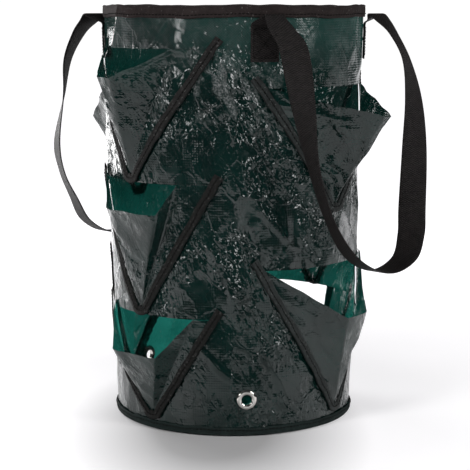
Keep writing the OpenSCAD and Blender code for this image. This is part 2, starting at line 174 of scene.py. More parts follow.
# Creases of the wall: from and to as azimuth and height, height of the fold in mm, and its width
# on the left and on the right in mm, seen from outside with the first end up
CREASES = [
    (-25.7, 447, -38.2, 405, 2.4, 3, 3), (-57, 452, -67, 398, 1.6, 6, 4),
    (30, 400, 16, 330, 1.8, 5, 5), (8, 395, 22, 340, 1.5, 4, 4), (2, 390, 18, 320, -1.5, 5, 5),
    (5, 300, -2, 130, 2.0, 8, 8), (14, 330, 10, 180, -1.6, 7, 7), (20, 300, 27, 160, 1.6, 6, 9),
    (-8, 380, 2, 300, 1.5, 4, 7), (-4, 260, 8, 200, -1.4, 6, 6), (10, 240, 24, 205, 1.4, 5, 8),
    (-12, 210, 4, 120, 1.3, 5, 5), (30, 225, 44, 190, 1.5, 5, 5), (34, 235, 60, 215, -1.2, 4, 4),
    (-20, 100, 0, 60, 1.4, 6, 6), (4, 110, 20, 30, 1.3, 5, 5), (36, 62, 62, 26, 1.6, 4, 4),
    (78, 250, 82, 100, 2.0, 7, 7), (-84, 380, -86, 200, 1.8, 8, 8),
    (110, 400, 104, 240, 1.6, 7, 7), (172, 430, 160, 300, 1.8, 7, 7),
    (-160, 300, -164, 120, 1.8, 8, 8), (90, 330, 96, 230, 1.4, 6, 6),
]


def rim_wave(az):
    """How the rim's edge rises and falls, in mm."""
    a = np.radians(az)
    return 0.5 * np.sin(5 * a + 0.7) + 0.35 * np.sin(11 * a + 1.7) + 0.3 * np.sin(23 * a)


def base_wave(az, z):
    """How the base's tape rises and falls, in mm."""
    return 0.8 * rim_wave(az * 2 + 30) * ease(z, 1, 8)


def creased(x, z):
    """Flats and creases of the slack film at a place round the base and up, in mm."""
    wx = x + 9 * swirl(x / 37, z / 41, 1)
    wz = z + 9 * swirl(x / 35, z / 43, 2)
    d = 2.0 * facets(wx / 74, wz / 118, 3) + 1.0 * facets(wx / 33, wz / 52, 5)
    d += 0.4 * facets(wx / 15, wz / 19, 8)
    for az0, z0, az1, z1, high, left, right in CREASES:
        s, t = to_line(x + (wx - x) * 0.4, z, az0 * ROUND, z0, az1 * ROUND, z1)
        tent = np.maximum(0, 1 - np.abs(s) / np.where(s > 0, left, right))
        d = d + high * tent * ease(t, -0.12, 0.12) * ease(-t, -1.12, -0.88)
    return d


def pleated(d, x, z):
    """With a pleat below the rim: a slope, a fold that faces up a little, and a slope back."""
    s, t = to_line(x, z, -18 * ROUND, 447, -24.8 * ROUND, 404)
    fold = np.interp(s, [-13, -4.2, 4.2, 18], [0, 1, 1, 0])
    fold = fold * ease(t, -0.08, 0.06) * ease(-t, -1.12, -1.0)
    return d * (1 - 0.7 * fold) + fold * (1.0 + 4.4 * np.clip(t, 0, 1))


def held_flat(d, az, z):
    """With no dents under the eyelets, the sewn ends and the side seam."""
    for eyelet_az in EYELETS.values():
        d = d * ease(np.hypot(apart(az, eyelet_az) * ROUND, z - EYELET_Z), 13, 34)
    for end_az, _ in ENDS.values():
        beside = ease(np.abs(apart(az, end_az)) * ROUND, 17, 32)
        d = d * np.maximum(beside, 1 - ease(z, SEWN_TOP - SEWN_H - 22, SEWN_TOP - SEWN_H - 4))
    return d * ease(np.minimum(np.abs(az - SEAM_AZ), np.abs(az - SEAM_AZ + 360)), 2, 9)


def with_facet(d, az, z):
    """With a flat facet beside the top left pocket."""
    near = -58 - 0.2 * (449 - z)
    middle, half = (near - 92) / 2, (near + 92) / 2
    inside = np.clip((half - np.abs(az - middle)) / 0.8, 0, 1) * ease(z, 392, 402)
    flat = -(BASE_R + 8) * (1 - np.cos(np.radians(half))) * (1 - ((az - middle) / half) ** 2)
    return d * (1 - inside) + (flat + 0.1 * d) * inside


def dent(az, z):
    """How far the slack wall stands off its round, in mm."""
    az, z = np.broadcast_arrays(wrap(az), np.asarray(z, float))
    x = az * ROUND
    d = creased(x, z)
    d = d * (0.25 + 0.75 * ease(z, 4, 60) * (1 - 0.55 * ease(z, 390, 440)))
    return with_facet(held_flat(pleated(d, x, z), az, z), az, z)


def on_wall(az, z, off=0):
    """The point at an azimuth, a height and a distance off the wall's round."""
    az, z = np.asarray(az, float), np.asarray(z, float)
    a, h = np.radians(az), z / BAG_H
    return np.stack(np.broadcast_arrays((BASE_R + RIM_SPREAD * h + off) * np.sin(a),
                                        -(BASE_R - RIM_SQUEEZE * h + off) * np.cos(a), z), -1)


# A pocket's V at a share of the way from its tip to its slit
def v_half(p, t):
    t = np.asarray(t, float)
    bow = np.where(t < 1, 1 - np.maximum(1 - t, 0) ** 1.05, t)
    return TIP_HALF + (p.half - TIP_HALF) * bow


def v_mid(p, t):
    return p.tip_az + (p.slit_az - p.tip_az) * t


def v_z(p, t):
    return p.tip_z + (p.slit_z - p.tip_z) * t


# Meshes
def mesh(name, points, faces, mat, uv=None, attrs=None, ride=True):
    me = bpy.data.meshes.new(name)
    me.from_pydata((np.asarray(points) * MM).tolist(), [], faces)
    me.validate()
    if uv is not None:
        layer = me.uv_layers.new(name="UVMap")
        idx = np.empty(len(me.loops), int)
        me.loops.foreach_get("vertex_index", idx)
        layer.data.foreach_set("uv", (np.asarray(uv, float)[idx] * MM).astype(np.float32).ravel())
    for key, values in (attrs or {}).items():
        data = me.attributes.new(key, "FLOAT", "POINT").data
        data.foreach_set("value", np.asarray(values, np.float32))
    me.polygons.foreach_set("use_smooth", [True] * len(me.polygons))
    me.materials.append(mat)
    ob = bpy.data.objects.new(name, me)
    scene.collection.objects.link(ob)
    if ride:
        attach(ob, "bag")
    return ob


def grid_faces(rows, cols, round_cols=False, round_rows=False, first=0):
    """Four-sided faces of a grid of points, closed across its columns or rows if round."""
    return [(first + i * cols + j, first + i * cols + (j + 1) % cols,
             first + (i + 1) % rows * cols + (j + 1) % cols, first + (i + 1) % rows * cols + j)
            for i in range(rows if round_rows else rows - 1)
            for j in range(cols if round_cols else cols - 1)]


def rod_faces(sides, length):
    """Faces of a closed section swept along a path, with its two ends."""
    return grid_faces(sides, length, round_rows=True) + [
        tuple(i * length for i in range(sides)),
        tuple(i * length + length - 1 for i in reversed(range(sides)))]


# Shaders
class Graph:
    """The nodes of a material or world. Inputs take a value, a node or a node and its output."""

    def __init__(self, owner):
        self.owner = owner
        owner.use_nodes = True
        self.tree = owner.node_tree
        self.tree.nodes.clear()

    def put(self, node, key, value):
        if isinstance(value, tuple) and hasattr(value[0], "outputs"):
            self.tree.links.new(value[0].outputs[value[1]], node.inputs[key])
        elif hasattr(value, "outputs"):
            self.tree.links.new(value.outputs[0], node.inputs[key])
        else:
            node.inputs[key].default_value = value

    def add(self, kind, **inputs):
        node = self.tree.nodes.new("ShaderNode" + kind)
        for key, value in inputs.items():
            self.put(node, key.replace("_", " "), value)
        return node

    def steps(self, kind, operation, values):
        node = self.add(kind)
        node.operation = operation
        for k, value in enumerate(values):
            self.put(node, k, value)
        return node

    def math(self, operation, *values):
        return self.steps("Math", operation, values)

    def vec(self, operation, *values):
        return self.steps("VectorMath", operation, values)

    def length(self, vector):
        return self.vec("LENGTH", vector), "Value"

    def product(self, first, *rest):
        for value in rest:
            first = self.math("MULTIPLY", first, value)
        return first

    def ramp(self, fac, stops):
        node = self.add("ValToRGB", Fac=fac)
        while len(node.color_ramp.elements) < len(stops):
            node.color_ramp.elements.new(0.5)
        for element, (place, colour) in zip(node.color_ramp.elements, stops):
            element.position = place
            element.color = (*colour, 1)
        return node

    def remap(self, value, from_min, from_max, to_min, to_max):
        return self.add("MapRange", Value=value, From_Min=from_min, From_Max=from_max,
                        To_Min=to_min, To_Max=to_max)

    def noise(self, vector, scale, detail=3, rough=0.5):
        return self.add("TexNoise", Vector=vector, Scale=scale, Detail=detail, Roughness=rough)

    def mix(self, fac, *colours):
        one, two = ((*c, 1) if isinstance(c, tuple) else c for c in colours)
        return self.add("MixRGB", Fac=fac, Color1=one, Color2=two)

    def bump(self, height):
        return self.add("Bump", Strength=1.0, Distance=1.0, Height=height)

    def attribute(self, name):
        node = self.add("Attribute")
        node.attribute_name = name
        return node, "Fac"

    def where(self):
        return self.add("TexCoord"), "Object"

    def sheet_place(self):
        """Place on the flat sheet, across and up, in metres."""
        uv = self.add("UVMap")
        uv.uv_map = "UVMap"
        split = self.add("SeparateXYZ", Vector=uv)
        return (split, 0), (split, 1)

    def blend_of(self, fac, *shaders):
        node = self.add("MixShader")
        for k, value in enumerate((fac, *shaders)):
            self.put(node, k, value)
        return node

    def out(self, shader):
        self.add("OutputMaterial", Surface=shader)
        return self.owner


def tilted_cells(g, where, scale, tilt):
    """Cells that each lean their own way, as the flats of crumpled film do; height in metres."""
    v = g.add("TexVoronoi", Vector=where, Scale=scale)
    lean = g.vec("SUBTRACT", (v, "Color"), (0.5, 0.5, 0.5))
    away = g.vec("SUBTRACT", where, (v, "Position"))
    return g.product((g.vec("DOT_PRODUCT", lean, away), "Value"), tilt)


def veins(g, where, scale, width, high):
    """Thin raised creases along the edges of cells; height in metres."""
    v = g.add("TexVoronoi", Vector=where, Scale=scale)
    v.feature = "DISTANCE_TO_EDGE"
    return g.product(g.remap((v, "Distance"), 0, width, 1, 0), high)


def grey(level):
    return (level,) * 3


def woven(g, across, up):
    """The weave's checks from -1 to 1, and its height in metres."""
    pitch = 2 * math.pi / 0.0026
    wave_across, wave_up = (g.math("SINE", g.product(k, pitch)) for k in (across, up))
    check = g.product(wave_across, wave_up)
    return check, g.math("ADD", g.product(wave_up, 0.00002), g.product(check, 0.00003))


def crumpled(g, where, across, up, amount):
    """Places warped along the film's crumples, and the crumples' height in metres."""
    # The crumples run long from the upper left to the lower right
    lean = g.add("CombineXYZ", X=g.math("MULTIPLY_ADD", up, 0.45, across),
                 Y=g.product(g.math("MULTIPLY_ADD", across, -0.45, up), 0.45))
    warp = g.vec("MULTIPLY", (g.noise(where, 45), "Color"), grey(0.012))
    warped = g.vec("ADD", lean, warp)
    large = g.math("ADD", tilted_cells(g, warped, 38, 0.5), veins(g, warped, 38, 0.05, 0.0005))
    middle = g.math("ADD", tilted_cells(g, warped, 130, 1.0), veins(g, warped, 130, 0.12, 0.0005))
    small = tilted_cells(g, warped, 360, 1.2)
    patch = g.product(g.remap(g.noise(where, 22, 2), 0.44, 0.56, 0.05, 1.0), amount)
    fine = g.product(g.math("ADD", middle, small), patch)
    broad = g.product(large, g.math("MULTIPLY_ADD", amount, 0.85, 0.15))
    return warped, g.math("ADD", fine, broad)


def film_tone(g, where, warped, cloud, painted_sheen, amount):
    """The film's colour: dark green, with a painted grey sheen and painted grey glints."""
    tone = g.ramp(cloud, [(0.3, (0.0009, 0.0066, 0.0057)), (0.7, (0.002, 0.0132, 0.0114))])
    # Painted sheen: a grey reflection mixed into the colour
    tone = g.mix(painted_sheen, tone, (0.036, 0.041, 0.041))
    # Painted glints: grey streaks where the film is most crumpled, for glints too small to model
    streaks = g.remap(g.noise(warped, 62, 3, 0.55), 0.52, 0.6, 0, 1)
    specks = g.remap(g.noise(where, 520, 2), 0.42, 0.6, 0.2, 1)
    painted_glints = g.product(streaks, specks, g.remap(amount, 0.75, 1.1, 0, 0.6))
    return g.mix(painted_glints, tone, (0.17, 0.18, 0.18))


def share_through(g, level, glow):
    """How much of the light comes through the film, set by the height on the bag as painted light.
    """
    # Painted light: more comes through to the inside near the base, and to the outside near the
    # rim, where more light falls
    inner = g.ramp(level, [(0.26, grey(glow)), (0.38, grey(glow * 0.5)),
                           (0.56, grey(glow * 0.2)), (0.9, grey(glow * 0.12))])
    outer = g.ramp(level, [(0.8, grey(0.014)), (0.92, grey(0.085))])
    # None comes through where another strip or a pocket's binding lies on the sheet
    inner = g.product(inner, g.math("SUBTRACT", 1.0, g.attribute("shut")))
    return g.mix((g.add("NewGeometry"), "Backfacing"), outer, inner)


def tarp(name, crumple, glow, gloss=0.45):
    """Coated woven film, glossy and a little translucent."""
    g = Graph(bpy.data.materials.new(name))
    where = g.where()
    across, up = g.sheet_place()
    amount = g.attribute("crumple")
    check, weave = woven(g, across, up)
    warped, cells = crumpled(g, where, across, up, amount)
    bump = g.bump(g.math("ADD", weave, g.product(cells, crumple)))
    spot = g.add("SeparateXYZ", Vector=where)
    level = g.math("DIVIDE", (spot, "Z"), BAG_H * MM)
    # The flat band below the rim has a painted grey sheen that shows the weave, and has less shine
    # on its right
    band = g.remap(level, 0.84, 0.93, 0, 1)
    sheen_patches = g.remap(g.noise(where, 70, 4, 0.65), 0.38, 0.6, 0.45, 1.0)
    painted_sheen = g.product(band, sheen_patches, g.math("MULTIPLY_ADD", check, 0.25, 0.75))
    dull = g.product(band, g.remap((spot, "X"), 0.03, 0.09, 0, 0.6))
    shine = g.product(g.math("SUBTRACT", 1.0, dull), gloss)
    rough = g.remap(g.noise(where, 90), 0.3, 0.7, 0.07, 0.13)
    cloud = g.noise(where, 30, 4, 0.6)
    tone = film_tone(g, where, warped, cloud, painted_sheen, amount)
    film = g.add("BsdfPrincipled", Base_Color=tone, Roughness=rough, Specular_IOR_Level=shine,
                 Normal=bump)
    shade = g.ramp(cloud, [(0.3, (0.03, 0.46, 0.36)), (0.7, (0.06, 0.66, 0.53))])
    through = g.add("BsdfTranslucent", Color=shade, Normal=bump)
    return g.out(g.blend_of(share_through(g, level, glow), film, through))


def cloth_tape(name, base, pale, spread=1.7, worn=0.0):
    """Brushed tape with pale lint on it; worn tape is more mottled and has a little more shine."""
    g = Graph(bpy.data.materials.new(name))
    where = g.where()
    fuzz = g.noise(where, 900, 4, 0.7)
    patch = g.noise(where, 110 - 40 * worn, 3 + 2 * worn, 0.6 + 0.15 * worn)
    lint = g.remap(g.noise(where, 420, 2, 0.6), 0.66 - 0.06 * worn, 0.76, 0, 0.6)
    tone = g.ramp(patch, [(0.3, base), (0.7, tuple(c * spread for c in base))])
    tone = g.mix(lint, tone, pale)
    # Painted shade: a dark line along the outer edge, where the tape meets the film
    tone = g.mix(g.attribute("edge_shade"), tone, grey(0.001))
    bump = g.bump(g.math("ADD", g.product(fuzz, 0.0008), g.product(patch, 0.0012)))
    return g.out(g.add("BsdfPrincipled", Base_Color=tone, Roughness=0.85 - 0.25 * worn,
                       Specular_IOR_Level=0.15 + 0.03 * worn, Normal=bump))


def webbing(name):
    """Woven strap: ribs across it, stepped from column to column."""
    g = Graph(bpy.data.materials.new(name))
    where = g.where()
    across, along = g.sheet_place()
    column = g.math("SINE", g.product(across, 2 * math.pi / 0.0046))
    shift = g.product(g.math("SIGN", column), 0.0005)
    rib = g.math("SINE", g.product(g.math("ADD", along, shift), 2 * math.pi / 0.0024))
    fibre = g.noise(where, 1500, 3, 0.6)
    height = g.math("ADD", g.product(rib, 0.0003), g.product(fibre, 0.00025))
    height = g.math("ADD", height, g.product(g.math("ABSOLUTE", column), 0.00008))
    mixed = g.math("ADD", g.product(rib, 0.32), g.noise(where, 200, 3, 0.6))
    tone = g.ramp(mixed, [(0.2, (0.0018, 0.0015, 0.0015)), (0.9, (0.022, 0.0185, 0.0182))])
    return g.out(g.add("BsdfPrincipled", Base_Color=tone, Roughness=0.6,
                       Specular_IOR_Level=0.16, Normal=g.bump(height)))


def thread(name):
    g = Graph(bpy.data.materials.new(name))
    where = g.where()
    tone = g.ramp(g.noise(where, 300, 2), [(0.3, grey(0.0015)), (0.7, (0.006, 0.0055, 0.005))])
    bump = g.bump(g.product(g.noise(where, 2400, 2), 0.0003))
    return g.out(g.add("BsdfPrincipled", Base_Color=tone, Roughness=0.85,
                       Specular_IOR_Level=0.1, Normal=bump))


def metal(name):
    g = Graph(bpy.data.materials.new(name))
    where = g.where()
    wear = g.noise(where, 380, 4, 0.65)
    tone = g.ramp(wear, [(0.3, (0.5, 0.48, 0.45)), (0.7, (0.64, 0.63, 0.6))])
    rough = g.remap(g.noise(where, 900), 0.3, 0.7, 0.06, 0.14)
    return g.out(g.add("BsdfPrincipled", Base_Color=tone, Metallic=1.0, Roughness=rough,
                       Normal=g.bump(g.product(wear, 0.0001))))


TARP = tarp("tarp", crumple=1.0, glow=0.16)
BASE = tarp("base_tarp", crumple=1.0, glow=0.004)
POUCH = tarp("pouch_tarp", crumple=0.8, glow=0.1)
DULL = tarp("dull_pouch_tarp", crumple=0.8, glow=0.16, gloss=0.03)
TAPE = cloth_tape("binding_tape", (0.0145, 0.0108, 0.0105), (0.25, 0.24, 0.23))
SEAM = cloth_tape("pocket_tape", (0.0026, 0.0024, 0.0023), (0.16, 0.165, 0.16),
                  spread=5.0, worn=1.0)
DARK_SEAM = cloth_tape("dark_pocket_tape", (0.0012, 0.0012, 0.001), (0.13, 0.13, 0.125),
                       spread=5.0, worn=1.0)
GREY_SEAM = cloth_tape("grey_pocket_tape", (0.007, 0.0085, 0.0083), (0.17, 0.18, 0.175),
                       spread=3.4, worn=1.0)
HEM = cloth_tape("base_tape", (0.007, 0.0115, 0.0108), (0.06, 0.07, 0.065), spread=2.0)
WEB = webbing("webbing")
THREAD = thread("thread")
METAL = metal("eyelet_metal")
SEAM_OF = {"front_left_middle": DARK_SEAM, "front_left_bottom": DARK_SEAM,
           "front_right_top": GREY_SEAM, "front_right_bottom": GREY_SEAM}

# Wall: rows of points, with the pockets' V openings cut along their seams
ROW_STEP, COLS = 2.0, 440
stops = {WALL_FOOT + GAP, BAG_H - TAPE_T - GAP}
stops = sorted(stops | {float(z) for p in POCKETS.values() for z in (p.slit_z, p.tip_z)})
rows = []
for z0, z1 in zip(stops, stops[1:]):
    n = max(1, round((z1 - z0) / ROW_STEP))
    rows += [z0 + (z1 - z0) * k / n for k in range(n)]
rows.append(stops[-1])
base_az = SEAM_AZ - 360 + np.arange(COLS) * 360 / COLS


def edges(z, low, high):
    """The V openings open between two heights, as pairs of azimuths at this height."""
    found = []
    for p in POCKETS.values():
        if p.tip_z <= low + 1e-6 and p.slit_z >= high - 1e-6:
            t = (z - p.tip_z) / (p.slit_z - p.tip_z)
            found.append((float(v_mid(p, t) - v_half(p, t)), float(v_mid(p, t) + v_half(p, t))))
    return found


lines = []
for i, z in enumerate(rows):
    cuts = edges(z, rows[i - 1], z) if i else []
    cuts += edges(z, z, rows[i + 1]) if i + 1 < len(rows) else []
    ends = sorted({round(float(wrap(a)), 6) for pair in cuts for a in pair})
    keep = [a for a in base_az if all(abs(a - e) > 0.25 for e in ends)]
    lines.append(np.array(sorted(keep + ends)))
start = np.cumsum([0] + [len(a) for a in lines])
az_all = np.concatenate(lines)
z_all = np.concatenate([np.full(len(a), z) for a, z in zip(lines, rows)])


def zipper(i, lo, hi, lo2, hi2, faces):
    """Adds triangles between two runs of points on neighbouring rows; gives the runs' ends."""
    a, b = lines[i], lines[i + 1]
    ia = [k for k in range(len(a)) if lo - 1e-5 <= a[k] <= hi + 1e-5]
    ib = [k for k in range(len(b)) if lo2 - 1e-5 <= b[k] <= hi2 + 1e-5]
    j = k = 0
    while j < len(ia) - 1 or k < len(ib) - 1:
        pa, pb = start[i] + ia[j], start[i + 1] + ib[k]
        if k == len(ib) - 1 or (j < len(ia) - 1 and a[ia[j + 1]] - lo <= b[ib[k + 1]] - lo2):
            faces.append((pa, start[i] + ia[j + 1], pb))
            j += 1
        else:
            faces.append((pa, start[i + 1] + ib[k + 1], pb))
            k += 1
    return start[i] + ia[0], start[i + 1] + ib[0], start[i] + ia[-1], start[i + 1] + ib[-1]


def run_ends(z, low, high):
    """Where the wall's runs begin and end at this height, between the V openings."""
    pairs = sorted((float(wrap(a)), float(wrap(b))) for a, b in edges(z, low, high))
    return [-1e9] + [a for pair in pairs for a in pair] + [1e9]


faces = []
for i, (lo, hi) in enumerate(zip(rows, rows[1:])):
    below, above = run_ends(lo, lo, hi), run_ends(hi, lo, hi)
    runs = [zipper(i, below[k], below[k + 1], above[k], above[k + 1], faces)
            for k in range(0, len(below), 2)]
    a0, b0, a1, b1 = runs[0][0], runs[0][1], runs[-1][2], runs[-1][3]
    faces += [(a1, a0, b1), (a0, b0, b1)]

# Holes for the eyelets
for eyelet_az in EYELETS.values():
    hole = np.hypot(apart(az_all, eyelet_az) / DEG, z_all - EYELET_Z) < EYELET_HOLE
    faces = [f for f in faces if not all(hole[k] for k in f)]
used = np.unique(np.concatenate([np.array(f) for f in faces]))
place = np.full(len(az_all), -1)
place[used] = np.arange(len(used))
faces = [tuple(int(place[k]) for k in f) for f in faces]
az_all, z_all = az_all[used], z_all[used]


def zone(az, z, spots):
    """Soft round spots, added up."""
    out = np.zeros(np.shape(az))
    for mid_az, mid_z, wide, tall, gain in spots:
        out = out + gain * np.exp(-((az - mid_az) / wide) ** 2 - ((z - mid_z) / tall) ** 2)
    return out


# Where the film is more crumpled, or less: azimuth, height, widths, amount
SPOTS = [(-12, 375, 20, 38, 0.9), (10, 350, 22, 45, 0.9), (5, 210, 14, 110, 0.5),
         (40, 250, 18, 60, 0.5), (78, 250, 24, 60, 1.0), (70, 410, 34, 45, -0.8),
         (-85, 230, 20, 130, 1.0), (160, 250, 40, 150, 0.5), (-160, 250, 30, 150, 0.5),
         (100, 120, 20, 80, 0.5), (-70, 120, 15, 60, 0.4), (20, 90, 20, 40, 0.3),
         (24, 190, 14, 30, -0.35), (14, 60, 14, 30, -0.3), (-18, 300, 16, 25, -0.3),
         (-45, 428, 20, 22, -0.5), (-22, 428, 8, 24, -0.4), (-78, 425, 14, 36, -0.6)]
crumple = np.clip(0.35 + zone(az_all, z_all, SPOTS), 0.05, 1.3)
shut = np.zeros(len(az_all))
for name, p in POCKETS.items():
    t = np.clip((z_all - p.tip_z) / (p.slit_z - p.tip_z), 0, None)
    beside = (np.abs(apart(az_all, v_mid(p, t))) - v_half(p, t)) / DEG
    below_tip = np.hypot(np.maximum(beside, 0), z_all - p.tip_z)
    beside = np.where(z_all < p.tip_z, below_tip, beside)
    wide = SEAM_OUT + 5 if name == "back_left_bottom" else SEAM_OUT
    on_tape = (beside > -1) & (beside < wide) & (z_all < p.slit_z + OVER)
    shut = np.maximum(shut, 0.96 * on_tape)
wall_z = z_all + rim_wave(az_all) * ease(z_all, 405, 440)
wall = mesh("bag_wall", on_wall(az_all, wall_z, -0.5 + dent(az_all, z_all)), faces, TARP,
            uv=np.stack([az_all / DEG, z_all], 1), attrs={"crumple": crumple, "shut": shut})
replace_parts(wall, "wall_panel")

# Base: a slack disc
radii = np.concatenate([[0.01], np.linspace(4, BASE_R - 3.2, 46)])
rr, aa = np.meshgrid(radii, np.radians(np.arange(0, 360, 2.5)), indexing="ij")
x, y = rr * np.sin(aa), -rr * np.cos(aa)
lift = 0.7 + 0.45 * (1 + facets(x / 34, y / 34, 12)) * ease(rr, 132, 100)
points = np.stack([x, y, lift], -1).reshape(-1, 3)
base = mesh("bag_base", points, grid_faces(*rr.shape, round_cols=True), BASE,
            uv=np.stack([x.ravel(), y.ravel()], 1), attrs={"crumple": np.full(len(points), 0.7)})
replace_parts(base, "base_panel")


# Tapes
def folded(z_free, z_web, z_fold):
    """Section of a tape folded over an edge: from its free edge over the fold and back inside."""
    s = 1 if z_fold > z_free else -1
    out = []
    for k in range(7):
        swell = 0.75 + 0.25 * math.sin(math.pi * k / 6)
        out.append((GAP + TAPE_T * swell, z_free + (z_fold - z_free) * k / 7))
    for k in range(7):
        a = math.pi * (0.5 - k / 6)
        out.append((-0.5 + (GAP + TAPE_T + 0.4) * math.sin(a),
                    z_fold + s * 1.6 * (math.cos(a) - 1)))
    for k in range(7):
        out.append((-1 - GAP - TAPE_T, z_fold + (z_free - z_fold) * (k + 1) / 8))
    return out + [(-1 - GAP, z_free), (-1 - GAP, z_web), (GAP, z_web), (GAP, z_free)]


def band(name, section, mat, node, wave):
    """A tape right round the bag."""
    cols = 480
    az = SEAM_AZ - 360 + np.arange(cols) * 360 / cols
    points = [on_wall(az, z + wave(az, z), off + dent(az, np.clip(z, 2, 449))
                      + 0.12 * swirl(az * 0.9, z / 3 + off, 17)) for off, z in section]
    faces = grid_faces(len(section), cols, round_cols=True, round_rows=True)
    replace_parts(mesh(name, np.array(points).reshape(-1, 3), faces, mat), node)


band("rim_tape", folded(RIM_Z, 449, BAG_H), TAPE, "rim_binding", lambda az, z: rim_wave(az))
band("base_tape", folded(BASE_TAPE_H, 1.4, 0.4)[::-1], HEM, "base_binding", base_wave)


def strip(name, path, width_from, width_to, off, mat):
    """A tape along a path: path(beside, off) gives the points; its section is a flat pillow."""
    shares = [k / 6 for k in range(7)]
    section = [(width_from + (width_to - width_from) * k,
                off + TAPE_T * (0.55 + 0.45 * math.sin(math.pi * (0.08 + 0.84 * k))))
               for k in shares]
    section += [(width_to, off), (width_from, off)]
    points = np.array([path(b, o) for b, o in section])
    # Points on the outer edge carry the painted shade line
    edge_shade = np.repeat([1.0 if b == width_to else 0.0 for b, _ in section], points.shape[1])
    return mesh(name, points.reshape(-1, 3), rod_faces(*points.shape[:2]), mat,
                attrs={"edge_shade": edge_shade})


def on_slack_wall(az, z, off):
    """The point at a distance off the dented wall."""
    return on_wall(az, z, off + dent(az, z))


side_z = np.linspace(BASE_TAPE_H + 1, RIM_Z - 1, 180)
side = strip("side_seam", lambda beside, off: on_slack_wall(SEAM_AZ + beside * DEG, side_z, off),
             -SIDE_TAPE_W / 2, SIDE_TAPE_W / 2, GAP, TAPE)
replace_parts(side, "side_seam_tape")


def v_path(p):
    """Places along a pocket's seam, from its left top end round the tip to its right top end."""
    length = p.slit_z - p.tip_z
    shares = np.linspace(0, 1 + OVER / length, int(length / 2.4))
    turn = [(0, a) for a in np.linspace(-90, 90, 9)[1:-1]]
    return [(-1, t) for t in shares[::-1]] + turn + [(1, t) for t in shares]


def v_points(p, path, beside, off):
    """Points beside a pocket's seam."""
    az, z = [], []
    length = p.slit_z - p.tip_z
    for leg, t in path:
        if leg:
            # The edges run a little unevenly and the ends are cut on a slant
            slant = float(ease(t, 1 - 6 / length, 1 + OVER / length))
            t_cut = t - beside * 0.5 / length * slant
            uneven = 1.1 * float(swirl(t * length / 9, beside / 5.5 + leg * 7, p.tip_z))
            out = (beside + uneven * min(1, t * 8)) * DEG
            az.append(v_mid(p, t_cut) + leg * (v_half(p, t_cut) + out))
            z.append(v_z(p, t_cut))
        else:
            a = math.radians(t)
            az.append(p.tip_az + (TIP_HALF + beside * DEG) * math.sin(a))
            z.append(p.tip_z - beside * math.cos(a))
    return on_slack_wall(np.array(az), np.array(z), off)


# How each pouch is crumpled: base amount, then places as share across, share up, widths, amount
POUCH_SPOTS = {
    "front_left_top": (0.25, [(0.8, 0.75, 0.3, 0.35, 0.9), (-0.15, 0.6, 0.08, 0.5, 0.7)]),
    "front_left_middle": (0.3, [(-0.75, 0.7, 0.3, 0.4, 1.0)]),
    "front_left_bottom": (0.25, [(-0.8, 0.8, 0.25, 0.3, 1.0)]),
    "front_right_top": (0.15, [(0.5, 0.5, 0.4, 0.6, 0.9)]),
    "front_right_bottom": (0.2, [(0.75, 0.6, 0.3, 0.6, 1.0)]),
    "back_left_top": (0.02, []),
}
# Where slack film stands up at a slit's end: share across, half width of the lobe, its height in
# mm; and how much stronger the wrinkles are
LOBES = {"front_left_top": (-0.9, 0.12, 6, 1.2), "front_left_middle": (-0.72, 0.3, 20, 2.2),
         "front_left_bottom": (-0.78, 0.26, 17, 1.5), "front_right_bottom": (0.8, 0.2, 24, 1.3)}


def lift_of(p, t):
    """How far a pouch has left the wall, as a share, above the seam at its tip."""
    t0 = (SEAM_IN + GAP) / (p.slit_z - p.tip_z)
    return np.maximum(0, (t - t0) / (1 - t0))


